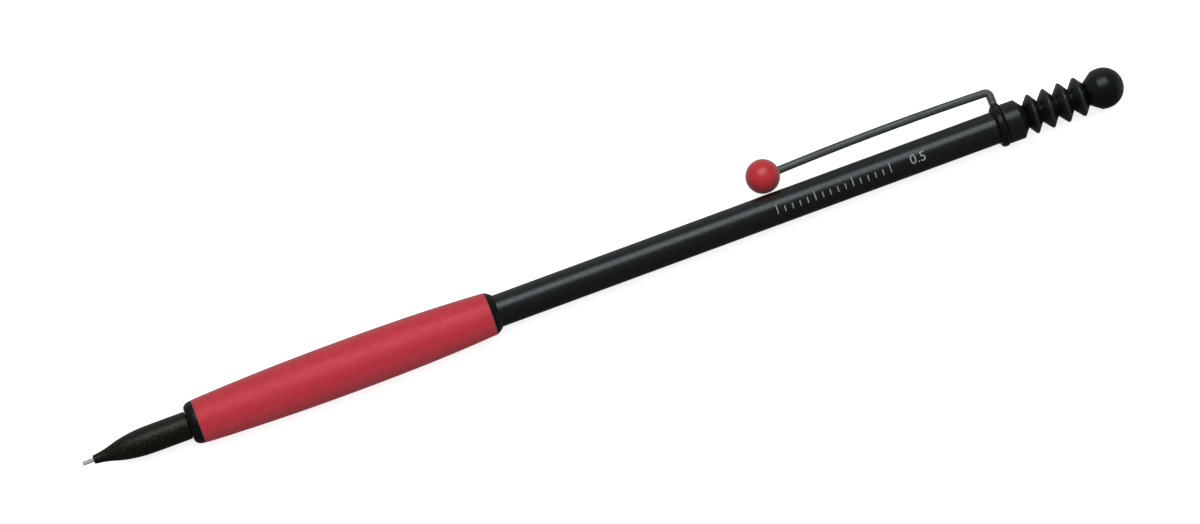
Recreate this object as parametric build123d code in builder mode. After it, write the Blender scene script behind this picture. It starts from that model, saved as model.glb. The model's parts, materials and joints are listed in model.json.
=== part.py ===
from build123d import *
from math import atan2, degrees
import os

# Slim push-button lead holder for 0.5 mm leads, with a spring-return collet chuck.
# It lies on its side.  Origin: centre of the nose's front face.  +X runs along the axis to the
# push knob, +Y is the side of the pocket clip, +Z is up.  Millimetres.
# A name that ends in _x is a place along the axis, and one that ends in _r is a radius.

# ---- lead ----
lead_r = 0.28
lead_length = 60.0
lead_out = 1.43
lead_tip_chamfer = 0.05
spare_lead_x = 64.0
spare_lead_side = 0.285
spare_lead_drop = 0.48

# ---- nose ----
nose_r = 1.765
nose_tip_r = 0.55
ogive_points = [(1.46, 0.78), (3.67, 1.365), (5.83, 1.69)]
ogive_tip_slope = 0.14
ogive_end_x = 8.20
nose_bore_r = 0.30
retainer_seat_x = 2.60
retainer_seat_r = 0.70
chuck_room_x = 4.20
chuck_room_r = 1.12
clutch_room_x = 6.60
clutch_room_r = 1.32
thread_r = 1.60
thread_length = 3.0
shoulder_gap = 0.03
retainer_play = 0.02
retainer_end_gap = 0.05

# ---- barrel, grip and rings ----
barrel_r = 2.05
barrel_front_x = 13.15
barrel_rear_x = 119.00
barrel_bore_r = 1.50
barrel_mouth_r = 1.65
barrel_mouth_end_x = 16.95
front_ring_x = 12.38
front_ring_hole_r = 1.64
front_ring_edge_r = 1.94
front_ring_land = 0.12
ring_r = 2.73
grip_front_x = 13.57
grip_rear_x = 51.96
grip_front_r = 2.745
grip_rear_r = 2.70
grip_points = [(20.8, 3.105), (34.5, 3.29), (46.2, 3.04)]
grip_edge = 0.10
rear_ring_r = 2.66
rear_ring_middle = (52.46, 2.40)
rear_ring_end_x = 52.88

# ---- clutch and chuck ----
sleeve_front_x = 9.75
sleeve_guide_end_x = 11.25
sleeve_guide_r = 0.80
sleeve_bore_r = 1.12
sleeve_r = 1.30
sleeve_rear_x = 26.5
flange_r = 1.60
flange_play = 0.05
chuck_front_x = 7.0
chuck_face_r = 0.70
chuck_head_x = 7.3
chuck_head_r = 1.0
chuck_head_end_x = 9.70
chuck_neck_r = 0.80
shank_r = 0.72
jaw_bore_r = 0.29
jaw_end_x = 11.0
chuck_bore_r = 0.40
chuck_rear_x = 22.0
jaws = 3
slit_width = 0.15
slit_end_x = 14.0
ring_front_x = 7.52
ring_rear_x = 9.70
ring_outer_r = 1.25
ring_play = 0.015
spring_wire_r = 0.10
spring_coil_r = 0.95
spring_turns = 12
spring_end_gap = 0.01

# ---- lead tube and its coupling ----
coupling_front_x = 20.0
coupling_rear_x = 30.0
coupling_r = 1.08
coupling_bore_r = 0.60
funnel_length = 2.0
spigot_length = 4.0
tube_r = 1.05
tube_bore_r = 0.85

# ---- end collar, bellows and push knob ----
collar_x = 120.12
collar_chamfer_x = 122.12
collar_rear_x = 122.92
collar_r = 2.52
collar_neck_r = 1.52
collar_spigot_x = 112.0
collar_bore_r = 1.12
collar_round = 0.08
folds = 4
first_crest_x = 123.965
fold_pitch = 2.068
valley_part = 0.46
crest_r = 2.62
valley_r = 1.36
bellows_wall = 0.25
bellows_gap = 0.02
fold_round = 0.14
knob_face_x = 131.20
knob_neck_r = 1.53
knob_shoulder = (132.48, 2.47)
knob_shoulder_slope = 0.25
knob_centre_x = 133.42
knob_r = 2.58
plug_length = 5.0
plug_lead_in = (0.3, 0.15)

# ---- pocket clip, drawn in the XY plane and then rolled down until its ball lies on the table ----
clip_roll = 9.35
clip_x = 119.82
band_r = 2.67
band_round = 0.30
collar_gap = 0.01
boss_base_x = 119.57
boss_base_y = 1.90
boss_base_r = 0.82
boss_top_y = 2.76
boss_top_r = 0.58
pivot_y = 2.58
foot_r = 0.34
foot_length = 0.72
foot_neck_r = 0.30
foot_play = 0.03
neck_slot_r = 0.36
leg_foot_y = 2.84
wire_r = 0.51
elbow_r = 0.60
arm_rear_y = 4.54
arm_middle = (105.5, 4.71)
arm_tip = (90.6, 4.36)
clip_ball_x = 89.63
clip_ball_y = 4.37
clip_ball_r = 2.17


def half_ring(start_x, end_x, inner_r, outer_r):
    """Half section of a plain ring about the X axis, added to the sketch that is open."""
    with Locations(((start_x + end_x) / 2, (inner_r + outer_r) / 2)):
        Rectangle(end_x - start_x, outer_r - inner_r)


def half_ring_cut(start_x, end_x, inner_r, outer_r):
    """The same half section, cut out of the sketch that is open."""
    with Locations(((start_x + end_x) / 2, (inner_r + outer_r) / 2)):
        Rectangle(end_x - start_x, outer_r - inner_r, mode=Mode.SUBTRACT)


# ---- nose cone: slender tip, ogive, cylinder and a plain cylinder for its thread ----
with BuildPart() as nose_cone:
    with BuildSketch():
        with BuildLine():
            tip = Line((0, nose_bore_r), (0, nose_tip_r))
            ogive = Spline(
                (0, nose_tip_r),
                *ogive_points,
                (ogive_end_x, nose_r),
                tangents=[(1, ogive_tip_slope), (1, 0)],
            )
            shoulder_x = front_ring_x - shoulder_gap
            thread_end_x = barrel_front_x + thread_length
            Polyline(
                ogive @ 1,
                (shoulder_x, nose_r),
                (shoulder_x, thread_r),
                (thread_end_x, thread_r),
                (thread_end_x, clutch_room_r),
                (clutch_room_x, clutch_room_r),
                (clutch_room_x, chuck_room_r),
                (chuck_room_x, chuck_room_r),
                (chuck_room_x, retainer_seat_r),
                (retainer_seat_x, retainer_seat_r),
                (retainer_seat_x, nose_bore_r),
                tip @ 0,
            )
        make_face()
    revolve(axis=Axis.X)
nose_cone.part.label = "nose_cone"

# ---- lead retainer: a rubber grommet that stops the lead from sliding back ----
with BuildPart() as lead_retainer:
    with BuildSketch():
        half_ring(
            retainer_seat_x + retainer_play,
            chuck_room_x - retainer_end_gap,
            jaw_bore_r,
            retainer_seat_r - retainer_play,
        )
    revolve(axis=Axis.X)
lead_retainer.part.label = "lead_retainer"

# ---- rings at the two ends of the grip ----
with BuildPart() as grip_front_ring:
    with BuildSketch():
        with BuildLine():
            edge_end_x = grip_front_x - front_ring_land
            nose_edge = Line((front_ring_x, front_ring_hole_r), (front_ring_x, front_ring_edge_r))
            rounding = EllipticalCenterArc(
                (edge_end_x, front_ring_edge_r),
                edge_end_x - front_ring_x,
                ring_r - front_ring_edge_r,
                start_angle=90,
                arc_size=90,
            )
            Polyline(
                (edge_end_x, ring_r),
                (grip_front_x, ring_r),
                (grip_front_x, barrel_r),
                (barrel_front_x, barrel_r),
                (barrel_front_x, front_ring_hole_r),
                nose_edge @ 0,
            )
        make_face()
    revolve(axis=Axis.X)
grip_front_ring.part.label = "grip_front_ring"

with BuildPart() as grip_rear_ring:
    with BuildSketch():
        with BuildLine():
            ThreePointArc(
                (grip_rear_x, rear_ring_r),
                rear_ring_middle,
                (rear_ring_end_x, barrel_r),
            )
            Polyline(
                (rear_ring_end_x, barrel_r),
                (grip_rear_x, barrel_r),
                (grip_rear_x, rear_ring_r),
            )
        make_face()
    revolve(axis=Axis.X)
grip_rear_ring.part.label = "grip_rear_ring"

# ---- grip sleeve: moulded rubber, widest a little ahead of its middle ----
with BuildPart() as grip_sleeve:
    with BuildSketch():
        with BuildLine():
            crown = Spline(
                (grip_front_x, grip_front_r),
                *grip_points,
                (grip_rear_x, grip_rear_r),
            )
            Polyline(crown @ 1, (grip_rear_x, barrel_r), (grip_front_x, barrel_r), crown @ 0)
        make_face()
    revolve(axis=Axis.X)
    outer_edges = grip_sleeve.edges().filter_by(GeomType.CIRCLE).sort_by(SortBy.RADIUS)[-2:]
    chamfer(outer_edges, grip_edge)
grip_sleeve.part.label = "grip_sleeve"

# ---- barrel: thin tube, opened out at the front for the nose's thread ----
with BuildPart() as barrel:
    with BuildSketch():
        half_ring(barrel_front_x, barrel_rear_x, barrel_bore_r, barrel_r)
        half_ring_cut(barrel_front_x, barrel_mouth_end_x, barrel_bore_r, barrel_mouth_r)
    revolve(axis=Axis.X)
barrel.part.label = "barrel"

# ---- clutch sleeve: its flange is held between the barrel's step and the nose ----
flange_x = barrel_front_x + thread_length + flange_play
with BuildPart() as clutch_sleeve:
    with BuildSketch():
        half_ring(sleeve_front_x, sleeve_rear_x, sleeve_bore_r, sleeve_r)
        half_ring(sleeve_front_x, sleeve_guide_end_x, sleeve_guide_r, sleeve_r)
        half_ring(flange_x, barrel_mouth_end_x, sleeve_bore_r, flange_r)
    revolve(axis=Axis.X)
clutch_sleeve.part.label = "clutch_sleeve"


def chuck_taper_r(x):
    """Radius of the chuck's tapered head at x."""
    along = (x - chuck_head_x) / (chuck_head_end_x - chuck_head_x)
    return chuck_head_r + along * (chuck_neck_r - chuck_head_r)


# ---- clutch ring: closes the jaws while it sits on the chuck's taper ----
with BuildPart() as clutch_ring:
    with BuildSketch():
        with BuildLine():
            Polyline(
                (ring_front_x, chuck_taper_r(ring_front_x) + ring_play),
                (ring_front_x, ring_outer_r),
                (ring_rear_x, ring_outer_r),
                (ring_rear_x, chuck_taper_r(ring_rear_x) + ring_play),
                close=True,
            )
        make_face()
    revolve(axis=Axis.X)
clutch_ring.part.label = "clutch_ring"

# ---- chuck: three jaws on one slit tube ----
with BuildPart() as chuck:
    with BuildSketch():
        with BuildLine():
            Polyline(
                (chuck_front_x, jaw_bore_r),
                (chuck_front_x, chuck_face_r),
                (chuck_head_x, chuck_head_r),
                (chuck_head_end_x, chuck_neck_r),
                (chuck_head_end_x, shank_r),
                (chuck_rear_x, shank_r),
                (chuck_rear_x, chuck_bore_r),
                (jaw_end_x, chuck_bore_r),
                (jaw_end_x, jaw_bore_r),
                close=True,
            )
        make_face()
    revolve(axis=Axis.X)
    with BuildSketch(Plane.YZ.offset(chuck_front_x)):
        with PolarLocations(chuck_head_r / 2, jaws):
            Rectangle(chuck_head_r + slit_width, slit_width)
    extrude(amount=slit_end_x - chuck_front_x, mode=Mode.SUBTRACT)
chuck.part.label = "chuck"

# ---- return spring: between the clutch sleeve's guide and the tube coupling ----
spring_start_x = sleeve_guide_end_x + spring_wire_r + spring_end_gap
spring_end_x = coupling_front_x - spring_wire_r - spring_end_gap
spring_pitch = (spring_end_x - spring_start_x) / spring_turns
with BuildPart() as return_spring:
    with BuildLine():
        coil = Helix(
            pitch=spring_pitch,
            height=spring_end_x - spring_start_x,
            radius=spring_coil_r,
            center=(spring_start_x, 0, 0),
            direction=(1, 0, 0),
        )
    with BuildSketch(Plane(origin=coil @ 0, z_dir=coil % 0)):
        Circle(spring_wire_r)
    sweep()
return_spring.part.label = "return_spring"

# ---- tube coupling: joins the chuck's shank to the lead tube, and funnels leads forward ----
with BuildPart() as tube_coupling:
    with BuildSketch():
        with BuildLine():
            spigot_end_x = coupling_rear_x + spigot_length
            Polyline(
                (coupling_front_x, shank_r),
                (chuck_rear_x, shank_r),
                (chuck_rear_x, chuck_bore_r),
                (chuck_rear_x + funnel_length, coupling_bore_r),
                (spigot_end_x, coupling_bore_r),
                (spigot_end_x, tube_bore_r),
                (coupling_rear_x, tube_bore_r),
                (coupling_rear_x, coupling_r),
                (coupling_front_x, coupling_r),
                close=True,
            )
        make_face()
    revolve(axis=Axis.X)
tube_coupling.part.label = "tube_coupling"

# ---- lead tube: magazine for the leads, and the rod that the knob pushes ----
with BuildPart() as lead_tube:
    with BuildSketch():
        half_ring(coupling_rear_x, knob_face_x, tube_bore_r, tube_r)
    revolve(axis=Axis.X)
lead_tube.part.label = "lead_tube"

# ---- the lead in use, and two spares that lie in the tube ----
with BuildPart() as working_lead:
    with BuildSketch(Plane.YZ.offset(-lead_out)):
        Circle(lead_r)
    extrude(amount=lead_length)
    chamfer(working_lead.edges().sort_by(Axis.X)[0], lead_tip_chamfer)
working_lead.part.label = "working_lead"

with BuildPart() as spare_leads:
    with BuildSketch(Plane.YZ.offset(spare_lead_x)):
        with Locations((-spare_lead_side, -spare_lead_drop), (spare_lead_side, -spare_lead_drop)):
            Circle(lead_r)
    extrude(amount=lead_length)
spare_leads.part.label = "spare_leads"

# ---- end collar: chamfered cap whose spigot carries the clip ring ----
with BuildPart() as end_collar:
    with BuildSketch():
        with BuildLine():
            Polyline(
                (collar_spigot_x, collar_bore_r),
                (collar_spigot_x, barrel_bore_r),
                (collar_x, barrel_bore_r),
                (collar_x, collar_r),
                (collar_chamfer_x, collar_r),
                (collar_rear_x, collar_neck_r),
                (collar_rear_x, collar_bore_r),
                close=True,
            )
        make_face()
    revolve(axis=Axis.X)
    outer_edges = end_collar.edges().filter_by(GeomType.CIRCLE).sort_by(SortBy.RADIUS)[-2:]
    fillet(outer_edges, collar_round)
end_collar.part.label = "end_collar"

# ---- bellows: four folds with rounded crests ----
bellows_front_x = collar_rear_x + bellows_gap
bellows_rear_x = knob_face_x - bellows_gap
fold_points = [(bellows_front_x, valley_r)]
for fold in range(folds):
    fold_x = first_crest_x + fold * fold_pitch
    fold_points.append((fold_x, crest_r))
    if fold < folds - 1:
        fold_points.append((fold_x + valley_part * fold_pitch, valley_r))
fold_points.append((bellows_rear_x, valley_r))
inner_points = [(x, r - bellows_wall) for x, r in fold_points]
with BuildPart() as bellows:
    with BuildSketch():
        with BuildLine():
            outside = FilletPolyline(*fold_points, radius=fold_round)
            inside = FilletPolyline(*inner_points, radius=fold_round)
            Line(outside @ 0, inside @ 0)
            Line(outside @ 1, inside @ 1)
        make_face()
    revolve(axis=Axis.X)
bellows.part.label = "bellows"

# ---- push knob: a ball on a cone that meets it at a shoulder, and a plug for the tube ----
knob_end_x = knob_centre_x + knob_r
plug_x = knob_face_x - plug_length
with BuildPart() as push_knob:
    with BuildSketch():
        with BuildLine():
            bulge = Spline(
                knob_shoulder,
                (knob_centre_x, knob_r),
                tangents=[(1, knob_shoulder_slope), (1, 0)],
            )
            CenterArc((knob_centre_x, 0), knob_r, 0, 90)
            Polyline(
                (knob_end_x, 0),
                (plug_x, 0),
                (plug_x, tube_bore_r - plug_lead_in[1]),
                (plug_x + plug_lead_in[0], tube_bore_r),
                (knob_face_x, tube_bore_r),
                (knob_face_x, knob_neck_r),
                bulge @ 0,
            )
        make_face()
    revolve(axis=Axis.X)
push_knob.part.label = "push_knob"

# ---- clip ring: rounded band with a boss on the clip's side, which flares towards the barrel ----
with BuildPart() as clip_ring:
    with BuildSketch():
        half_ring(barrel_rear_x, collar_x, barrel_bore_r, band_r)
    revolve(axis=Axis.X)
    outer_edges = clip_ring.edges().filter_by(GeomType.CIRCLE).sort_by(SortBy.RADIUS)[-2:]
    fillet(outer_edges, band_round)
    with BuildSketch(Plane.XZ.offset(-boss_base_y)):
        with Locations((boss_base_x, 0)):
            Circle(boss_base_r)
    with BuildSketch(Plane.XZ.offset(-boss_top_y)):
        with Locations((clip_x, 0)):
            Circle(boss_top_r)
    loft()
    # room for the barrel, the collar and the collar's spigot
    with BuildSketch(mode=Mode.PRIVATE) as neighbours:
        half_ring(boss_base_x - 2 * boss_base_r, barrel_rear_x, 0, barrel_r)
        half_ring(collar_x, boss_base_x + 2 * boss_base_r, 0, collar_r + collar_gap)
        half_ring(barrel_rear_x, collar_x, 0, barrel_bore_r)
    revolve(neighbours.sketch, axis=Axis.X, mode=Mode.SUBTRACT)
    # socket for the clip's foot, and the slot that its neck comes out of
    with Locations((clip_x, pivot_y, 0)):
        Cylinder(foot_r + foot_play, foot_length + 2 * foot_play, mode=Mode.SUBTRACT)
    with BuildSketch(Plane.XZ.offset(-pivot_y)):
        with Locations((clip_x, 0)):
            Circle(neck_slot_r)
    extrude(amount=-boss_top_r, mode=Mode.SUBTRACT)
clip_ring.part = clip_ring.part.rotate(Axis.X, -clip_roll)
clip_ring.part.label = "clip_ring"

# ---- clip wire: gently bowed arm, elbow, leg, and a cross foot that turns in the boss ----
with BuildPart() as clip_wire:
    with BuildLine() as clip_line:
        arm = ThreePointArc(arm_tip, arm_middle, (clip_x - elbow_r, arm_rear_y))
        arm_fall = degrees(atan2((arm % 1).Y, (arm % 1).X))
        elbow = JernArc(start=arm @ 1, tangent=arm % 1, radius=elbow_r, arc_size=-90 - arm_fall)
        Line(elbow @ 1, ((elbow @ 1).X, leg_foot_y))
    with BuildSketch(Plane(origin=arm @ 0, z_dir=arm % 0)):
        Circle(wire_r)
    sweep()
    leg_x = (elbow @ 1).X
    with BuildSketch(Plane.XZ.offset(-pivot_y)):
        with Locations((leg_x, 0)):
            Circle(foot_neck_r)
    extrude(amount=-(leg_foot_y - pivot_y))
    with Locations((leg_x, pivot_y, 0)):
        Cylinder(foot_r, foot_length)

# ---- clip ball: stands just off the barrel, drilled for the wire ----
with BuildPart() as clip_ball:
    with Locations((clip_ball_x, clip_ball_y, 0)):
        Sphere(clip_ball_r)
    add(clip_wire.part, mode=Mode.SUBTRACT)
clip_wire.part = clip_wire.part.rotate(Axis.X, -clip_roll)
clip_ball.part = clip_ball.part.rotate(Axis.X, -clip_roll)
clip_wire.part.label = "clip_wire"
clip_ball.part.label = "clip_ball"

pieces = [
    nose_cone,
    lead_retainer,
    grip_front_ring,
    grip_sleeve,
    grip_rear_ring,
    barrel,
    clutch_sleeve,
    clutch_ring,
    chuck,
    return_spring,
    tube_coupling,
    lead_tube,
    working_lead,
    spare_leads,
    end_collar,
    bellows,
    push_knob,
    clip_ring,
    clip_wire,
    clip_ball,
]
os.makedirs("parts", exist_ok=True)
for piece in pieces:
    export_step(piece.part, f"parts/{piece.part.label}.step")
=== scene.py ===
import json
import math

import bmesh
import bpy
from mathutils import Matrix, Vector


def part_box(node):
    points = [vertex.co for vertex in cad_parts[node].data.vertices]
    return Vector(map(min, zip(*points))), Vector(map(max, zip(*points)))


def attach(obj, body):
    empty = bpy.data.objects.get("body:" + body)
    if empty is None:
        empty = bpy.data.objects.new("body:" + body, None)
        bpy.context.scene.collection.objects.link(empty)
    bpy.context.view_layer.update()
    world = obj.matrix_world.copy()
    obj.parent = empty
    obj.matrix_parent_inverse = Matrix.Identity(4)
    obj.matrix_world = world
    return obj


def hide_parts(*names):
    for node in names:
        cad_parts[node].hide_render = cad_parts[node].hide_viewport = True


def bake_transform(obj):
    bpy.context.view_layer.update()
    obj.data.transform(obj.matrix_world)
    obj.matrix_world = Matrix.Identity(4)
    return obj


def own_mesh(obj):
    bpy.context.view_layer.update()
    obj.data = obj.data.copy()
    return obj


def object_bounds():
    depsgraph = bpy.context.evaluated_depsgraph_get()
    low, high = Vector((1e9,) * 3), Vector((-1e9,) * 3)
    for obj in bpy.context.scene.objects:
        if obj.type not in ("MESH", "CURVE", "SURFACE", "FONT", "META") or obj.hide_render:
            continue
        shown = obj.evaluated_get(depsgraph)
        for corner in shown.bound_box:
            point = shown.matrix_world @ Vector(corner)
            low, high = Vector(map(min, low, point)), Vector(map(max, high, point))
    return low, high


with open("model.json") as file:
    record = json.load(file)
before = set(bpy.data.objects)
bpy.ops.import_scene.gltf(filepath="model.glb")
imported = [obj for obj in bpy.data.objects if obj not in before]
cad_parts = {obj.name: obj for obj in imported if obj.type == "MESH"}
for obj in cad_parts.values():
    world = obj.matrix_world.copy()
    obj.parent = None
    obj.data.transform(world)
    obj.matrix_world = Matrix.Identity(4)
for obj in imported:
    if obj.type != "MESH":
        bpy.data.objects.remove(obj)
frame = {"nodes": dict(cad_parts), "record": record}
cad_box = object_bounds()
scene = bpy.context.scene
joints = {joint["name"]: joint for joint in frame["record"]["behaviour"]["joints"]}
MM = 0.001
X_AXIS = (1, 0, 0)


def extent(node):
    """First x, last x and outer radius of a turned CAD node, in millimetres."""
    low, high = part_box(node)
    return low[0] / MM, high[0] / MM, high[2] / MM


# ---------------------------------------------------------------- camera

VIEW_TILT = math.radians(4.5)
VIEW_TURN = math.radians(20.214)
VIEW_DISTANCE = 0.668
VIEW_TARGET = Vector((0.06688, 0.00131, 0.0))
FOCAL_LENGTH = 162.07
SENSOR_WIDTH = 36
NEAREST = 0.01


def add_camera():
    """A camera above the holder and a little towards its nose, turned about its own axis."""
    forward = Vector((math.sin(VIEW_TILT), 0, -math.cos(VIEW_TILT)))
    along = Vector((math.cos(VIEW_TILT), 0, math.sin(VIEW_TILT)))
    across = Vector((0, 1, 0))
    right = math.cos(VIEW_TURN) * along - math.sin(VIEW_TURN) * across
    up = math.sin(VIEW_TURN) * along + math.cos(VIEW_TURN) * across
    turned = Matrix((right, up, -forward)).transposed().to_4x4()
    data = bpy.data.cameras.new("camera")
    data.lens = FOCAL_LENGTH
    data.sensor_width = SENSOR_WIDTH
    data.clip_start = NEAREST
    camera = bpy.data.objects.new("camera", data)
    camera.matrix_world = Matrix.Translation(VIEW_TARGET - VIEW_DISTANCE * forward) @ turned
    scene.collection.objects.link(camera)
    scene.camera = camera


scene.view_settings.view_transform = "Standard"
add_camera()

# ---------------------------------------------------------------- light

LIT_POINT = Vector((0.07, 0, 0))
KEY_ANGLE = math.radians(37)
KEY_DISTANCE = 0.50
KEY_LEAN = 0.10


def area_light(name, centre, size, watts, glossy=True):
    """A rectangular soft light that faces the holder; its long side runs along X."""
    data = bpy.data.lights.new(name, "AREA")
    data.shape = "RECTANGLE"
    data.size, data.size_y = size
    data.energy = watts
    light = bpy.data.objects.new(name, data)
    z = (Vector(centre) - LIT_POINT).normalized()
    x = Vector(X_AXIS)
    x = (x - x.dot(z) * z).normalized()
    y = z.cross(x)
    light.matrix_world = Matrix.Translation(centre) @ Matrix((x, y, z)).transposed().to_4x4()
    light.visible_camera = False
    light.visible_glossy = glossy
    scene.collection.objects.link(light)


def add_lights():
    """The key light makes the long highlight; the other two only lift the shaded sides."""
    key_side = Vector((KEY_LEAN, math.sin(KEY_ANGLE), math.cos(KEY_ANGLE)))
    area_light("key", LIT_POINT + KEY_DISTANCE * key_side, (0.46, 0.30), 0.74)
    area_light("fill", (0.05, 0.30, 0.70), (0.7, 0.7), 4.1, glossy=False)
    area_light("bounce", (0.07, -0.40, 0.09), (0.7, 0.16), 0.68, glossy=False)


def glow(tree, towards, start, end, dark, bright):
    """Strength that rises from dark to bright as the direction turns towards the given one."""
    direction = tree.nodes.new("ShaderNodeTexCoord").outputs["Generated"]
    dot = tree.nodes.new("ShaderNodeVectorMath")
    dot.operation = "DOT_PRODUCT"
    dot.inputs[1].default_value = Vector(towards).normalized()
    tree.links.new(direction, dot.inputs[0])
    spread = tree.nodes.new("ShaderNodeMapRange")
    for socket, value in zip(("From Min", "From Max", "To Min", "To Max"), (start, end, dark, bright)):
        spread.inputs[socket].default_value = value
    tree.links.new(dot.outputs["Value"], spread.inputs["Value"])
    return spread.outputs["Result"]


def add_world():
    """A dim room, lighter on the clip's side, low down on that side, and behind the push knob."""
    world = bpy.data.worlds.new("world")
    scene.world = world
    world.use_nodes = True
    tree = world.node_tree
    background = tree.nodes["Background"]
    background.inputs["Color"].default_value = (0.97, 1.0, 1.0, 1)
    strength = glow(tree, (0, 1, 0), -1, 1, 0.05, 0.17)
    low_side = glow(tree, (0, 0.8, -0.6), 0.5, 1, 0.0, 0.16)
    behind_knob = glow(tree, (1, -0.1, -0.35), 0.70, 1, 0.0, 0.20)
    for part in (low_side, behind_knob):
        total = tree.nodes.new("ShaderNodeMath")
        tree.links.new(strength, total.inputs[0])
        tree.links.new(part, total.inputs[1])
        strength = total.outputs[0]
    tree.links.new(strength, background.inputs["Strength"])


add_lights()
add_world()

# ---------------------------------------------------------------- materials


class Paint:
    """A procedural material: a Principled shader and the textures that vary it, in object space."""

    def __init__(self, name, color, roughness, metallic=0.0, **sockets):
        self.material = bpy.data.materials.new(name)
        self.material.use_nodes = True
        self.tree = self.material.node_tree
        self.shader = self.tree.nodes["Principled BSDF"]
        self.color = color
        self.roughness = roughness
        self.shader.inputs["Base Color"].default_value = (*color, 1)
        self.shader.inputs["Roughness"].default_value = roughness
        self.shader.inputs["Metallic"].default_value = metallic
        for socket, value in sockets.items():
            self.shader.inputs[socket.replace("_", " ")].default_value = value
        self.place = self.tree.nodes.new("ShaderNodeTexCoord").outputs["Object"]
        self.height = None

    def link(self, source, target):
        self.tree.links.new(source, target)

    def stretched(self, scale):
        """Object coordinates times a scale for each axis."""
        node = self.tree.nodes.new("ShaderNodeMapping")
        node.inputs["Scale"].default_value = scale
        self.link(self.place, node.inputs["Vector"])
        return node.outputs["Vector"]

    def noise(self, scale, detail=2.0, rough=0.5):
        """Noise with cells of 1 / scale metres; scale is one number or three."""
        node = self.tree.nodes.new("ShaderNodeTexNoise")
        three = scale if isinstance(scale, tuple) else (scale, scale, scale)
        self.link(self.stretched(three), node.inputs["Vector"])
        node.inputs["Scale"].default_value = 1.0
        node.inputs["Detail"].default_value = detail
        node.inputs["Roughness"].default_value = rough
        return node.outputs["Fac"]

    def rings(self, spacing):
        """Fine turned rings around the X axis, slightly uneven."""
        per_ring, wander = math.pi / 10, 900
        node = self.tree.nodes.new("ShaderNodeTexWave")
        node.bands_direction = "X"
        node.inputs["Scale"].default_value = 1.0
        node.inputs["Distortion"].default_value = 1.2
        self.link(self.stretched((per_ring / spacing, wander, wander)), node.inputs["Vector"])
        return node.outputs["Fac"]

    def spread(self, source, low, high, from_low=0.3, from_high=0.7):
        """Takes the source's range from from_low to from_high to the range from low to high."""
        node = self.tree.nodes.new("ShaderNodeMapRange")
        node.inputs["From Min"].default_value = from_low
        node.inputs["From Max"].default_value = from_high
        node.inputs["To Min"].default_value = low
        node.inputs["To Max"].default_value = high
        self.link(source, node.inputs["Value"])
        return node.outputs["Result"]

    def vary_roughness(self, source, amount):
        """Lets the roughness swing by the amount, up and down."""
        self.link(
            self.spread(source, self.roughness - amount, self.roughness + amount),
            self.shader.inputs["Roughness"],
        )

    def vary_color(self, source, other, low=0.3, high=0.7):
        """Mixes the colour towards another one where the texture is bright."""
        node = self.tree.nodes.new("ShaderNodeMix")
        node.data_type = "RGBA"
        node.inputs["A"].default_value = (*self.color, 1)
        node.inputs["B"].default_value = (*other, 1)
        self.link(self.spread(source, 0, 1, low, high), node.inputs["Factor"])
        self.link(node.outputs["Result"], self.shader.inputs["Base Color"])

    def from_axis(self):
        """Distance from the X axis, in metres."""
        length = self.tree.nodes.new("ShaderNodeVectorMath")
        length.operation = "LENGTH"
        self.link(self.stretched((0, 1, 1)), length.inputs[0])
        return length.outputs["Value"]

    def from_plane(self, x):
        """Distance from the plane at x, in metres."""
        split = self.tree.nodes.new("ShaderNodeSeparateXYZ")
        self.link(self.place, split.inputs["Vector"])
        offset = self.tree.nodes.new("ShaderNodeMath")
        offset.operation = "SUBTRACT"
        offset.inputs[1].default_value = x
        self.link(split.outputs["X"], offset.inputs[0])
        distance = self.tree.nodes.new("ShaderNodeMath")
        distance.operation = "ABSOLUTE"
        self.link(offset.outputs[0], distance.inputs[0])
        return distance.outputs[0]

    def overlay(self, source, other, low, high):
        """Lays another colour over what is there, where the source lies above low to high."""
        socket = self.shader.inputs["Base Color"]
        node = self.tree.nodes.new("ShaderNodeMix")
        node.data_type = "RGBA"
        node.inputs["B"].default_value = (*other, 1)
        self.link(socket.links[0].from_socket, node.inputs["A"])
        self.link(self.spread(source, 0, 1, low, high), node.inputs["Factor"])
        self.link(node.outputs["Result"], socket)

    def bump(self, source, depth):
        """Relief of the given depth in metres; calls add up."""
        node = self.tree.nodes.new("ShaderNodeBump")
        node.inputs["Strength"].default_value = 1.0
        node.inputs["Distance"].default_value = depth
        self.link(source, node.inputs["Height"])
        if self.height:
            self.link(self.height, node.inputs["Normal"])
        self.height = node.outputs["Normal"]
        self.link(self.height, self.shader.inputs["Normal"])


def nose_black():
    """Matt black paint with a coarse grain."""
    tint = (0.98, 1.0, 0.92, 1)
    p = Paint("nose_black", (0.0028, 0.0030, 0.0012), 0.34, Specular_IOR_Level=0.56, Specular_Tint=tint)
    p.vary_color(p.noise(4500, 3, 0.75), (0.0260, 0.0265, 0.0205), 0.52, 0.70)
    p.vary_roughness(p.noise(4200, 3, 0.6), 0.12)
    p.bump(p.noise(4200, 2, 0.6), 0.000056)
    return p


def ring_black():
    """Smooth black plastic of the two rings beside the grip."""
    p = Paint("ring_black", (0.0022, 0.0030, 0.0022), 0.34, Specular_IOR_Level=0.32)
    p.vary_color(p.noise(2500, 2), (0.0070, 0.0085, 0.0075))
    p.vary_roughness(p.noise(3000, 3), 0.05)
    p.bump(p.noise(4200, 2), 0.000003)
    return p


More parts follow.
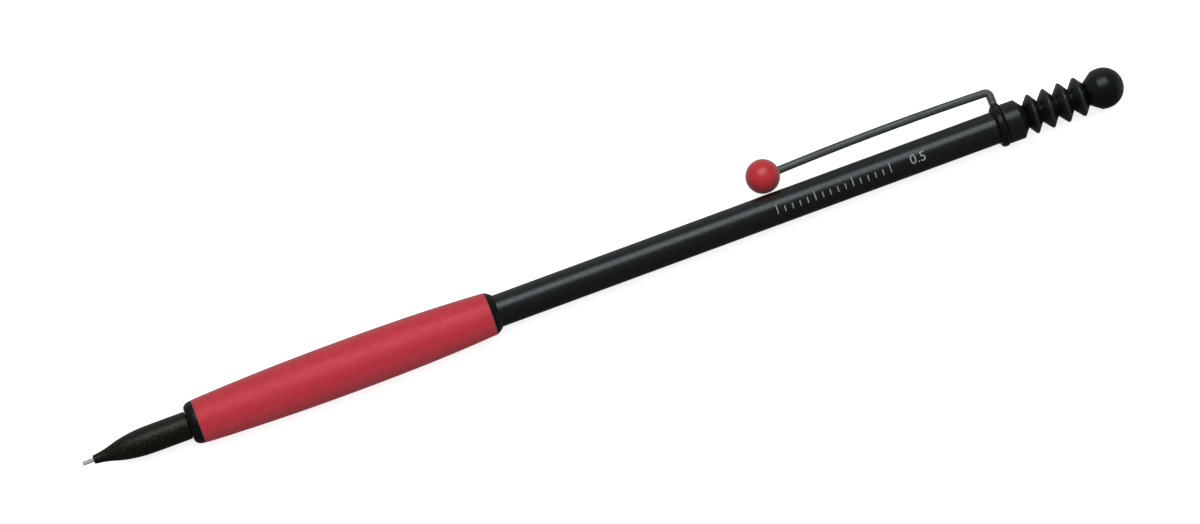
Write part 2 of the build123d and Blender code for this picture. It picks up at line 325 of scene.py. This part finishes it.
def grip_red():
    """Soft red rubber with a fine skin, and a darker rim at each end."""
    p = Paint(
        "grip_red",
        (0.590, 0.036, 0.056),
        0.44,
        Specular_IOR_Level=0.95,
        Specular_Tint=(1.0, 0.38, 0.44, 1),
        Sheen_Weight=0.22,
        Sheen_Roughness=0.5,
    )
    p.vary_color(p.noise(1500, 4, 0.7), (0.500, 0.030, 0.047), 0.40, 0.65)
    p.vary_roughness(p.noise(6500, 3), 0.06)
    p.bump(p.noise(9000, 4, 0.75), 0.000020)
    p.bump(p.noise(1700, 2), 0.000009)
    front, rear, _ = extent("grip_sleeve")
    middle, half = (front + rear) / 2 * MM, (rear - front) / 2 * MM
    p.overlay(p.from_plane(middle), (0.20, 0.075, 0.11), half - 0.00012, half - 0.00005)
    return p


def barrel_black():
    """Satin black paint of the tube."""
    tint = (0.82, 0.97, 1.0, 1)
    p = Paint("barrel_black", (0.0044, 0.0038, 0.0028), 0.30, Specular_IOR_Level=0.95, Specular_Tint=tint)
    p.vary_color(p.noise((900, 2600, 2600), 2), (0.0078, 0.0070, 0.0056))
    p.vary_roughness(p.noise((1200, 4200, 4200), 3), 0.05)
    p.bump(p.noise(5200, 2), 0.0000026)
    return p


def collar_black():
    """Black paint of the end collar, a little duller than the tube's."""
    tint = (0.85, 0.97, 1.0, 1)
    p = Paint("collar_black", (0.0052, 0.0050, 0.0042), 0.28, Specular_IOR_Level=0.60, Specular_Tint=tint)
    p.vary_color(p.noise(2600, 2), (0.0120, 0.0128, 0.0135))
    p.vary_roughness(p.noise(2200, 3), 0.09)
    p.bump(p.noise(5200, 2), 0.0000040)
    return p


def clip_ring_black():
    """Black paint of the clip's ring."""
    p = Paint("clip_ring_black", (0.0030, 0.0031, 0.0028), 0.25, Specular_IOR_Level=0.34)
    p.vary_color(p.noise(3200, 2), (0.0070, 0.0074, 0.0074))
    p.vary_roughness(p.noise(4800, 3), 0.05)
    p.bump(p.noise(5600, 2), 0.0000028)
    return p


def clip_steel():
    """Dark drawn wire with streaks along its length."""
    p = Paint("clip_steel", (0.134, 0.152, 0.152), 0.43, 0.42)
    p.vary_color(p.noise((160, 7000, 7000), 3, 0.6), (0.072, 0.084, 0.084), 0.38, 0.62)
    p.vary_roughness(p.noise((240, 7000, 7000), 3), 0.08)
    p.bump(p.noise((130, 8000, 8000), 3, 0.6), 0.000016)
    return p


def ball_red():
    """Red enamel of the clip's ball."""
    p = Paint(
        "ball_red",
        (0.580, 0.029, 0.040),
        0.36,
        Coat_Weight=0.40,
        Coat_Roughness=0.20,
        Sheen_Weight=0.46,
        Sheen_Roughness=0.42,
    )
    p.vary_color(p.noise(900, 3), (0.515, 0.026, 0.036), 0.35, 0.65)
    p.vary_roughness(p.noise(5200, 3), 0.06)
    p.bump(p.noise(6000, 2), 0.0000060)
    return p


def bellows_black():
    """Black rubber with dusty patches; the crests of its folds are painted lighter, a painted highlight."""
    tint = (0.90, 1.0, 0.98, 1)
    p = Paint("bellows_black", (0.0034, 0.0037, 0.0029), 0.29, Specular_IOR_Level=0.80, Specular_Tint=tint)
    p.vary_color(p.noise(1100, 3, 0.65), (0.0110, 0.0130, 0.0125), 0.50, 0.75)
    # Painted highlight: the colour turns lighter with distance from the axis, so the fold crests look lit.
    p.overlay(p.from_axis(), (0.0330, 0.0390, 0.0400), 0.00232, 0.00280)
    p.vary_roughness(p.noise(2600, 3), 0.12)
    p.bump(p.noise(4200, 3), 0.000018)
    return p


def knob_black():
    """Smooth black plastic of the push knob."""
    tint = (0.84, 1.0, 0.98, 1)
    p = Paint("knob_black", (0.0024, 0.0022, 0.0012), 0.29, Specular_IOR_Level=0.62, Specular_Tint=tint)
    p.vary_color(p.noise(2400, 2), (0.0050, 0.0052, 0.0040))
    p.vary_roughness(p.noise(3600, 3), 0.05)
    p.bump(p.noise(3200, 2), 0.0000035)
    return p


def brass():
    """Turned brass of the chuck and the clutch."""
    p = Paint("brass", (0.72, 0.50, 0.20), 0.26, 1.0)
    p.vary_color(p.noise(1800, 3), (0.60, 0.40, 0.15))
    p.vary_roughness(p.rings(0.00006), 0.06)
    p.bump(p.rings(0.00006), 0.0000015)
    return p


def spring_steel():
    """Bright drawn steel of the return spring."""
    p = Paint("spring_steel", (0.55, 0.55, 0.56), 0.24, 1.0)
    p.vary_color(p.noise(3000, 2), (0.42, 0.42, 0.44))
    p.vary_roughness(p.noise(9000, 3), 0.06)
    p.bump(p.noise(12000, 2), 0.0000015)
    return p


def inner_plastic():
    """Cream plastic of the lead tube and its coupling."""
    p = Paint("inner_plastic", (0.72, 0.71, 0.67), 0.42, Subsurface_Weight=0.15, Subsurface_Scale=0.0006)
    p.vary_color(p.noise(700, 2), (0.68, 0.665, 0.62))
    p.vary_roughness(p.noise((300, 4000, 4000), 3), 0.06)
    p.bump(p.noise(6000, 2), 0.000003)
    return p


def inner_rubber():
    """Dull black rubber of the lead retainer."""
    p = Paint("inner_rubber", (0.030, 0.030, 0.031), 0.62)
    p.vary_color(p.noise(5000, 2), (0.042, 0.042, 0.043))
    p.bump(p.noise(12000, 3), 0.000006)
    return p


def lead_grey():
    """Grey lead, drawn in streaks along its length."""
    p = Paint("lead_grey", (0.600, 0.570, 0.545), 0.36, 0.25)
    p.vary_color(p.noise((900, 9000, 9000), 3, 0.6), (0.400, 0.375, 0.360))
    p.vary_roughness(p.noise(8000, 2), 0.07)
    p.bump(p.noise((900, 12000, 12000), 3), 0.000005)
    return p


def mark_grey():
    """Slightly worn grey ink of the marking."""
    p = Paint("mark_grey", (0.300, 0.315, 0.335), 0.48)
    p.vary_color(p.noise(9000, 3, 0.7), (0.205, 0.215, 0.230), 0.5, 0.8)
    p.bump(p.noise(14000, 2), 0.000003)
    return p


def floor_white():
    """A pale floor that glows a little, so that shadows on it stay faint."""
    p = Paint("floor", (0.93, 0.93, 0.925), 0.9, Emission_Strength=0.72, Emission_Color=(1, 1, 1, 1))
    p.vary_color(p.noise(14, 2), (0.925, 0.925, 0.92))
    return p


PAINT_MAKERS = (
    nose_black,
    ring_black,
    grip_red,
    barrel_black,
    collar_black,
    clip_ring_black,
    clip_steel,
    ball_red,
    bellows_black,
    knob_black,
    brass,
    spring_steel,
    inner_plastic,
    inner_rubber,
    lead_grey,
    mark_grey,
    floor_white,
)
paints = {make.__name__: make() for make in PAINT_MAKERS}

slots = {part["node"]: part["material_slot"] for part in frame["record"]["subparts"]}
for node, piece in frame["nodes"].items():
    piece.data.materials.clear()
    piece.data.materials.append(paints[slots[node]].material)

# ---------------------------------------------------------------- floor

FLOOR_REACH = 1.5
FLOOR_GAP = 0.00002


def add_floor():
    """A flat floor just under the holder; the holder neither mirrors it nor takes light from it."""
    level = cad_box[0][2] - FLOOR_GAP
    corners = [(x * FLOOR_REACH, y * FLOOR_REACH, level) for x, y in ((-1, -1), (1, -1), (1, 1), (-1, 1))]
    data = bpy.data.meshes.new("floor")
    data.from_pydata(corners, [], [(0, 1, 2, 3)])
    data.materials.append(paints["floor_white"].material)
    floor = bpy.data.objects.new("floor", data)
    scene.collection.objects.link(floor)
    floor.visible_glossy = False
    floor.visible_diffuse = False


add_floor()

# ---------------------------------------------------------------- mesh helpers

MOST_CUT = 0.49
CORNER_STEPS = 7
CURVE_STEPS = 12
ON_AXIS = 1e-6


def rounded(outline):
    """Outline corners given as (x, r) stay sharp; (x, r, radius) get an arc of about that radius."""
    points = []
    count = len(outline)
    for i, corner in enumerate(outline):
        here = Vector(corner[:2])
        if len(corner) == 2:
            points.append(here)
            continue
        before = Vector(outline[i - 1][:2]) - here
        after = Vector(outline[(i + 1) % count][:2]) - here
        half = before.angle(after) / 2
        cut = min(corner[2] / math.tan(half), before.length * MOST_CUT, after.length * MOST_CUT)
        radius = cut * math.tan(half)
        start = here + before.normalized() * cut
        centre = here + (before.normalized() + after.normalized()).normalized() * radius / math.sin(half)
        spoke = start - centre
        end_spoke = here + after.normalized() * cut - centre
        whole = spoke.angle_signed(end_spoke)
        for k in range(CORNER_STEPS + 1):
            turn = -whole * k / CORNER_STEPS
            points.append(centre + Matrix.Rotation(turn, 2) @ spoke)
    return [(p.x, p.y) for p in points]


def curve_through(points, first_slope, last_slope):
    """Smooth line through points whose x rises, as (x, r) pairs, without its last point."""
    slopes = [first_slope]
    for before, here, after in zip(points, points[1:], points[2:]):
        slope_in = (here[1] - before[1]) / (here[0] - before[0])
        slope_out = (after[1] - here[1]) / (after[0] - here[0])
        weight = (here[0] - before[0]) / (after[0] - before[0])
        slopes.append(slope_in * (1 - weight) + slope_out * weight)
    slopes.append(last_slope)
    line = []
    for (x0, r0), (x1, r1), slope0, slope1 in zip(points, points[1:], slopes, slopes[1:]):
        width = x1 - x0
        for k in range(CURVE_STEPS):
            t = k / CURVE_STEPS
            start = (2 * t**3 - 3 * t**2 + 1) * r0 + (t**3 - 2 * t**2 + t) * width * slope0
            end = (3 * t**2 - 2 * t**3) * r1 + (t**3 - t**2) * width * slope1
            line.append((x0 + t * width, start + end))
    return line


def arc_through(a, b, c, steps):
    """Points on the circle through three points of the XY plane, from a to c."""
    a, b, c = Vector(a), Vector(b), Vector(c)
    d = 2 * (a.x * (b.y - c.y) + b.x * (c.y - a.y) + c.x * (a.y - b.y))
    aa, bb, cc = a.length_squared, b.length_squared, c.length_squared
    centre = Vector((
        (aa * (b.y - c.y) + bb * (c.y - a.y) + cc * (a.y - b.y)) / d,
        (aa * (c.x - b.x) + bb * (a.x - c.x) + cc * (b.x - a.x)) / d,
    ))
    start, end = a - centre, c - centre
    whole = start.angle_signed(end)
    return [centre + Matrix.Rotation(-whole * k / steps, 2) @ start for k in range(steps + 1)]


def finish_piece(name, mesh_bm, paint, sharp=32, move=None):
    """Turns a bmesh in millimetres into a smooth-shaded object in metres, moved by a matrix."""
    bmesh.ops.recalc_face_normals(mesh_bm, faces=mesh_bm.faces)
    data = bpy.data.meshes.new(name)
    mesh_bm.to_mesh(data)
    mesh_bm.free()
    data.transform(move or Matrix.Identity(4))
    data.transform(Matrix.Scale(MM, 4))
    data.polygons.foreach_set("use_smooth", [True] * len(data.polygons))
    data.set_sharp_from_angle(angle=math.radians(sharp))
    data.materials.append(paints[paint].material)
    piece = bpy.data.objects.new(name, data)
    scene.collection.objects.link(piece)
    return piece


def spin(mesh_bm, outline, sides=160, turned=Matrix.Identity(4)):
    """Adds the outline's solid of revolution about X; turned is a matrix for another axis."""
    rings = []
    for x, r in outline:
        angles = [2 * math.pi * k / sides for k in range(sides)] if r > ON_AXIS else [0.0]
        spots = [Vector((x, r * math.cos(angle), r * math.sin(angle))) for angle in angles]
        rings.append([mesh_bm.verts.new(turned @ spot) for spot in spots])
    for a, b in zip(rings, rings[1:] + rings[:1]):
        if len(a) == len(b) == 1:
            continue
        for k in range(sides):
            n = (k + 1) % sides
            if len(a) == 1:
                mesh_bm.faces.new((a[0], b[n], b[k]))
            elif len(b) == 1:
                mesh_bm.faces.new((a[k], a[n], b[0]))
            else:
                mesh_bm.faces.new((a[k], a[n], b[n], b[k]))


def lathe(name, outline, paint, body, node, sides=160, sharp=32, warp=None):
    """A turned piece that stands for a CAD node and rides on its body; warp moves its points."""
    mesh_bm = bmesh.new()
    spin(mesh_bm, outline, sides)
    if warp:
        for v in mesh_bm.verts:
            v.co = warp(v.co)
    piece = finish_piece(name, mesh_bm, paint, sharp)
    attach(piece, body)
    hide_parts(node)
    return piece


def sweep(mesh_bm, path, radii, sides=28):
    """Adds a round rod with flat ends along a path; radii has one value for each point."""
    tangents = []
    for i in range(len(path)):
        ahead = path[min(i + 1, len(path) - 1)] - path[max(i - 1, 0)]
        tangents.append(ahead.normalized())
    normal = tangents[0].orthogonal().normalized()
    rings = []
    for i, (point, radius) in enumerate(zip(path, radii)):
        if i:
            normal = (tangents[i - 1].rotation_difference(tangents[i]) @ normal).normalized()
        side = tangents[i].cross(normal)
        ring = []
        for k in range(sides):
            angle = 2 * math.pi * k / sides
            spoke = math.cos(angle) * normal + math.sin(angle) * side
            ring.append(mesh_bm.verts.new(point + radius * spoke))
        rings.append(ring)
    for a, b in zip(rings, rings[1:]):
        for k in range(sides):
            n = (k + 1) % sides
            mesh_bm.faces.new((a[k], a[n], b[n], b[k]))
    mesh_bm.faces.new(rings[0])
    mesh_bm.faces.new(rings[-1])


# ---------------------------------------------------------------- nose and lead

BARREL_FRONT, BARREL_REAR, BARREL_R = extent("barrel")
GRIP_FRONT, GRIP_REAR, _ = extent("grip_sleeve")
BORE_R = 1.50


def make_nose():
    """An ogive on a plain cylinder, and a threaded spigot; the bore is stepped."""
    front, rear, nose_r = extent("nose_cone")
    tip_r, tip_slope = 0.545, 0.14
    ogive_end_x, shoulder_x = 8.20, 12.35
    hole_r, seat_r, room_r, mouth_r = 0.30, 0.70, 1.12, 1.32
    seat_x, room_x, mouth_x = 2.60, 4.20, 6.60
    thread_r, root_r, pitch, turns = 1.60, 1.49, 0.50, 7
    land, flank = 0.04, 0.22
    ogive_points = [(front + 0.06, 0.558), (1.46, 0.78), (3.67, 1.365), (5.83, 1.69), (ogive_end_x, nose_r)]
    thread = []
    for k in range(turns):
        crest_x = shoulder_x + (k + 0.5) * pitch
        thread += [
            (crest_x - flank, root_r),
            (crest_x - land, thread_r),
            (crest_x + land, thread_r),
            (crest_x + flank, root_r),
        ]
    inside = [
        (rear, root_r, 0.06),
        (rear, mouth_r),
        (mouth_x, mouth_r),
        (mouth_x, room_r),
        (room_x, room_r),
        (room_x, seat_r),
        (seat_x, seat_r),
        (seat_x, hole_r),
    ]
    outline = [(front, hole_r, 0.03), (front, tip_r, 0.05)] + curve_through(ogive_points, tip_slope, 0.0)
    outline += [(ogive_end_x, nose_r), (shoulder_x, nose_r, 0.05), (shoulder_x, root_r)]
    outline += thread + inside
    lathe("nose", rounded(outline), "nose_black", "nose", "nose_cone")


def make_lead():
    """The lead that is in use, with a worn front edge."""
    front, rear, lead_r = extent("working_lead")
    outline = [
        (front, 0.0),
        (front, lead_r - 0.045, 0.03),
        (front + 0.06, lead_r, 0.04),
        (rear, lead_r, 0.03),
        (rear, 0.0),
    ]
    lathe("lead_in_use", rounded(outline), "lead_grey", "lead", "working_lead", sides=48)


make_nose()
make_lead()

# ---------------------------------------------------------------- grip and its rings


def make_front_ring():
    """The ring before the grip: its front edge is a quarter of an ellipse."""
    front, rear, ring_r = extent("grip_front_ring")
    hole_r, edge_r, land, steps = 1.64, 1.94, 0.12, 12
    edge_end = rear - land
    outline = [(front, hole_r), (front, edge_r, 0.05)]
    for k in range(1, steps + 1):
        angle = math.radians(90 * k / steps)
        outline.append((
            edge_end - (edge_end - front) * math.cos(angle),
            edge_r + (ring_r - edge_r) * math.sin(angle),
        ))
    outline += [(rear, ring_r, 0.03), (rear, BARREL_R)]
    outline += [(BARREL_FRONT, BARREL_R), (BARREL_FRONT, hole_r)]
    lathe("grip_front_ring_turned", rounded(outline), "ring_black", "barrel_body", "grip_front_ring")


def make_grip():
    """The rubber grip, crowned along its length, with rounded ends."""
    end = 0.10
    front_slope, rear_slope = 0.060, -0.066
    first = (GRIP_FRONT + end, 2.785)
    last = (GRIP_REAR - end, 2.725)
    crown = curve_through([first, (20.8, 3.105), (34.5, 3.29), (46.2, 3.04), last], front_slope, rear_slope)
    outline = [(GRIP_FRONT, BARREL_R), (GRIP_FRONT, 2.775, 0.10)] + crown[1:]
    outline += [last, (GRIP_REAR, 2.715, 0.09), (GRIP_REAR, BARREL_R)]
    lathe("grip_moulded", rounded(outline), "grip_red", "barrel_body", "grip_sleeve", sides=200)


def make_rear_ring():
    """The ring behind the grip, which comes down to the barrel in an arc."""
    _, end, ring_r = extent("grip_rear_ring")
    outline = [(GRIP_REAR, BARREL_R), (GRIP_REAR, ring_r, 0.04)]
    arc = arc_through((GRIP_REAR + 0.08, ring_r), (GRIP_REAR + 0.54, 2.40), (end, BARREL_R), 10)
    outline += [(point.x, point.y) for point in arc]
    lathe("grip_rear_ring_turned", rounded(outline), "ring_black", "barrel_body", "grip_rear_ring")


make_front_ring()
make_grip()
make_rear_ring()

# ---------------------------------------------------------------- barrel and its marking

MARK_LIFT = 0.012
MARK_STEP = 0.12
MARK_TURN = math.radians(-4)


def make_barrel():
    """The plain tube, with a wider mouth for the nose's thread."""
    mouth_r, mouth_end_x = 1.65, 16.95
    outline = [
        (BARREL_FRONT, BARREL_R),
        (BARREL_REAR, BARREL_R, 0.08),
        (BARREL_REAR, BORE_R),
        (mouth_end_x, BORE_R),
        (mouth_end_x, mouth_r),
        (BARREL_FRONT, mouth_r),
    ]
    lathe("barrel_tube", rounded(outline), "barrel_black", "barrel_body", "barrel", sides=200)


def wrap_on_barrel(mesh_bm, turn):
    """Bends flat artwork, drawn in X and Y, round the barrel; turn is the angle from +Z to +Y."""
    low = min(v.co.y for v in mesh_bm.verts)
    high = max(v.co.y for v in mesh_bm.verts)
    for k in range(1, int((high - low) / MARK_STEP) + 1):
        geometry = mesh_bm.verts[:] + mesh_bm.edges[:] + mesh_bm.faces[:]
        cut = (0, low + k * MARK_STEP, 0)
        bmesh.ops.bisect_plane(mesh_bm, geom=geometry, plane_co=cut, plane_no=(0, 1, 0))
    radius = BARREL_R + MARK_LIFT
    for v in mesh_bm.verts:
        angle = v.co.y / BARREL_R + turn
        v.co = Vector((v.co.x, radius * math.sin(angle), radius * math.cos(angle)))


def ticks(first_x, base_y, count=16, spacing=1.0, short=0.75, tall=1.25, width=0.13):
    """A flat row of ticks; every fifth one is tall."""
    mesh_bm = bmesh.new()
    for k in range(count):
        height = tall if k % 5 == 0 else short
        x = first_x + k * spacing
        corners = [
            (x - width / 2, base_y, 0),
            (x + width / 2, base_y, 0),
            (x + width / 2, base_y + height, 0),
            (x - width / 2, base_y + height, 0),
        ]
        mesh_bm.faces.new([mesh_bm.verts.new(c) for c in corners])
    return mesh_bm


def numerals(text, first_x, base_y, size=1.75):
    """Flat numerals from the built-in font."""
    data = bpy.data.curves.new("numerals", "FONT")
    data.body = text
    data.size = size
    data.resolution_u = 6
    source = bpy.data.objects.new("numerals", data)
    scene.collection.objects.link(source)
    flat = bpy.data.meshes.new_from_object(source)
    mesh_bm = bmesh.new()
    mesh_bm.from_mesh(flat)
    bmesh.ops.translate(mesh_bm, vec=(first_x, base_y, 0), verts=mesh_bm.verts)
    bpy.data.objects.remove(source)
    bpy.data.meshes.remove(flat)
    return mesh_bm


def make_mark(name, artwork):
    """Prints flat artwork on the barrel."""
    wrap_on_barrel(artwork, MARK_TURN)
    mark = finish_piece(name, artwork, "mark_grey")
    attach(mark, "barrel_body")


make_barrel()
make_mark("mark_scale", ticks(first_x=89.6, base_y=-0.62))
make_mark("mark_size", numerals("0.5", first_x=107.2, base_y=-0.60))

# ---------------------------------------------------------------- collar, bellows and push knob

COLLAR_FACE_X = 120.12


def make_collar():
    """The end collar: a spigot in the barrel, a short cylinder and a chamfer down to its neck."""
    front, rear, collar_r = extent("end_collar")
    chamfer_x, neck_r, bore_r = 122.12, 1.52, 1.12
    outline = [
        (front, bore_r),
        (front, BORE_R, 0.06),
        (COLLAR_FACE_X, BORE_R),
        (COLLAR_FACE_X, collar_r, 0.14),
        (chamfer_x, collar_r, 0.10),
        (rear, neck_r, 0.04),
        (rear, bore_r),
    ]
    lathe("collar_turned", rounded(outline), "collar_black", "barrel_body", "end_collar")


def make_bellows():
    """A thin rubber tube in sharp folds."""
    front, rear, _ = extent("bellows")
    count, first_crest_x, pitch, valley_part = 4, 123.965, 2.068, 0.46
    crest_r, valley_r, wall, lean = 2.66, 1.36, 0.25, 0.045
    folds = [(front, valley_r)]
    for k in range(count):
        crest_x = first_crest_x + k * pitch
        folds.append((crest_x, crest_r, 0.20))
        if k < count - 1:
            folds.append((crest_x + valley_part * pitch, valley_r, 0.06))
    folds.append((rear, valley_r))
    lining = [(x, r - wall, *more) for x, r, *more in reversed(folds)]

    def lean_folds(spot):
        """The soft folds lean: most at the first crest, not at all at the two ends."""
        rise = (spot.x - front) / (first_crest_x - front)
        fall = (rear - spot.x) / (rear - first_crest_x)
        return spot + Vector((lean * min(rise, fall) * spot.y, 0, 0))

    bellows = lathe(
        "bellows_moulded",
        rounded(folds + lining),
        "bellows_black",
        "barrel_body",
        "bellows",
        sharp=60,
        warp=lean_folds,
    )
    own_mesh(bellows)


def make_knob():
    """A ball on a cone, which meets it at a shoulder, and the plug that goes into the lead tube."""
    plug_front, knob_end, knob_r = extent("push_knob")
    centre_x, neck_x, neck_r, plug_r = knob_end - knob_r, 131.20, 1.53, 0.85
    shoulder, shoulder_slope, steps = (132.48, 2.47), 0.25, 32
    outline = [(neck_x, plug_r), (neck_x, neck_r, 0.05)]
    outline += curve_through([shoulder, (centre_x, knob_r)], shoulder_slope, 0.0)
    for k in range(steps):
        angle = math.radians(90) * (1 - k / steps)
        outline.append((centre_x + knob_r * math.cos(angle), knob_r * math.sin(angle)))
    outline += [(knob_end, 0.0), (plug_front, 0.0), (plug_front, 0.70), (plug_front + 0.30, plug_r)]
    lathe("knob_moulded", rounded(outline), "knob_black", "knob", "push_knob")


make_collar()
make_bellows()
make_knob()

# ---------------------------------------------------------------- return spring

SPRING_FRONT, SPRING_REAR = 11.36, 19.89
SPRING_TURNS, STEPS_PER_TURN = 12, 28
COIL_R, SPRING_WIRE_R = 0.95, 0.10
CLOSED_END, CLOSED_PITCH = 0.055, 0.35


def coil_line():
    """The spring's centre line: its end turns lie closer together than the others."""
    line = []
    steps = SPRING_TURNS * STEPS_PER_TURN
    whole = 1 - 2 * CLOSED_END * (1 - CLOSED_PITCH)
    for k in range(steps + 1):
        t = k / steps
        closed = min(t, CLOSED_END) + max(t - 1 + CLOSED_END, 0)
        rise = (closed * CLOSED_PITCH + t - closed) / whole
        angle = 2 * math.pi * SPRING_TURNS * t
        x = SPRING_FRONT + (SPRING_REAR - SPRING_FRONT) * rise
        line.append(Vector((x, COIL_R * math.cos(angle), COIL_R * math.sin(angle))))
    return line


def make_spring():
    """The coil spring."""
    line = coil_line()
    spring_bm = bmesh.new()
    sweep(spring_bm, line, [SPRING_WIRE_R] * len(line), sides=12)
    spring = finish_piece("spring_coiled", spring_bm, "spring_steel")
    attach(spring, "barrel_body")
    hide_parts("return_spring")
    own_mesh(spring)


make_spring()

# ---------------------------------------------------------------- clip: ring, wire and ball

# The clip is drawn in the XY plane and then rolled about the axis to its place.
pivot = Vector(joints["clip_flex"]["pos_m"]) / MM
CLIP_X, PIVOT_Y = pivot.x, math.hypot(pivot.y, pivot.z)
ROLLED = Matrix.Rotation(math.atan2(pivot.z, pivot.y), 4, "X")
ELBOW_R = 0.60
ARM = arc_through((90.6, 4.36), (105.5, 4.71), (CLIP_X - ELBOW_R, 4.54), 40)


def make_clip_ring():
    """A round-edged band, with a hollow boss that leans and widens towards the barrel."""
    band_r, band_gap, band_round = 2.67, 0.02, 0.40
    boss_top, boss_lean, slot_r, slot_floor = 2.76, 0.29, 0.36, 2.20
    band_front, band_rear = BARREL_REAR + band_gap, COLLAR_FACE_X - band_gap
    band = [
        (band_front, BORE_R),
        (band_rear, BORE_R),
        (band_rear, band_r, band_round),
        (band_front, band_r, band_round),
    ]
    boss = [
        (1.80, 0.0),
        (1.80, 0.86),
        (2.15, 0.76, 0.25),
        (2.45, 0.64, 0.3),
        (boss_top, 0.57, 0.08),
        (boss_top, slot_r, 0.03),
        (slot_floor, slot_r),
        (slot_floor, 0.0),
    ]
    upright = Matrix.Rotation(math.radians(90), 4, "Z")
    leaning = Matrix.Identity(4)
    leaning[0][1], leaning[0][3] = boss_lean, CLIP_X - boss_lean * boss_top
    ring_bm = bmesh.new()
    spin(ring_bm, rounded(band))
    spin(ring_bm, rounded(boss), sides=72, turned=leaning @ upright)
    clip_ring = finish_piece("clip_ring_turned", ring_bm, "clip_ring_black", move=ROLLED)
    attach(clip_ring, "barrel_body")
    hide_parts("clip_ring")


def wire_line(wire_r):
    """The wire's centre line and its radii: the arm, the elbow, and the leg with its thin neck."""
    fall = (ARM[-1] - ARM[-2]).normalized()
    hub = ARM[-1] + ELBOW_R * Vector((fall.y, -fall.x))
    spoke = ARM[-1] - hub
    full, steps = math.radians(90) + math.atan2(fall.y, fall.x), 12
    elbow = [hub + Matrix.Rotation(-full * k / steps, 2) @ spoke for k in range(1, steps + 1)]
    line = [Vector((point.x, point.y, 0)) for point in ARM + elbow]
    radii = [wire_r] * len(line)
    leg_x, neck_r = elbow[-1].x, 0.30
    for y, radius in (
        (3.30, wire_r),
        (2.90, wire_r),
        (2.86, wire_r - 0.03),
        (2.84, wire_r - 0.08),
        (2.83, neck_r),
        (PIVOT_Y, neck_r),
    ):
        line.append(Vector((leg_x, y, 0)))
        radii.append(radius)
    return line, radii


def make_clip_wire():
    """The wire and its round foot."""
    wire_r, foot_r, foot_half, foot_round = 0.51, 0.34, 0.36, 0.05
    line, radii = wire_line(wire_r)
    wire_bm = bmesh.new()
    sweep(wire_bm, line, radii, sides=36)
    cross = Matrix.Translation((line[-1].x, PIVOT_Y, 0)) @ Matrix.Rotation(math.radians(-90), 4, "Y")
    foot = [
        (-foot_half, 0),
        (-foot_half, foot_r, foot_round),
        (foot_half, foot_r, foot_round),
        (foot_half, 0),
    ]
    spin(wire_bm, rounded(foot), 32, turned=cross)
    wire = finish_piece("clip_wire_bent", wire_bm, "clip_steel", move=ROLLED)
    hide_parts("clip_wire")
    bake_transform(wire)


def make_clip_ball():
    """The ball on the end of the arm, with the hole that the wire goes into."""
    ball_x, ball_y, ball_r = 89.63, 4.37, 2.17
    hole_r, hole_end, rim, steps = 0.52, 0.6, 0.08, 48
    hole = math.asin((hole_r + rim) / ball_r)
    outline = [(-ball_r, 0.0)]
    for k in range(1, steps + 1):
        angle = math.pi - (math.pi - hole) * k / steps
        outline.append((ball_r * math.cos(angle), ball_r * math.sin(angle)))
    outline += [(ball_r * math.cos(hole) - 0.07, hole_r), (hole_end, hole_r), (hole_end, 0.0)]
    wire_rise = math.atan2(ARM[1].y - ARM[0].y, ARM[1].x - ARM[0].x)
    place = Matrix.Translation((ball_x, ball_y, 0)) @ Matrix.Rotation(wire_rise, 4, "Z")
    ball_bm = bmesh.new()
    spin(ball_bm, outline, 128, turned=place)
    clip_ball = finish_piece("clip_ball_moulded", ball_bm, "ball_red", move=ROLLED)
    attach(clip_ball, "clip")
    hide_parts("clip_ball")


make_clip_ring()
make_clip_wire()
make_clip_ball()
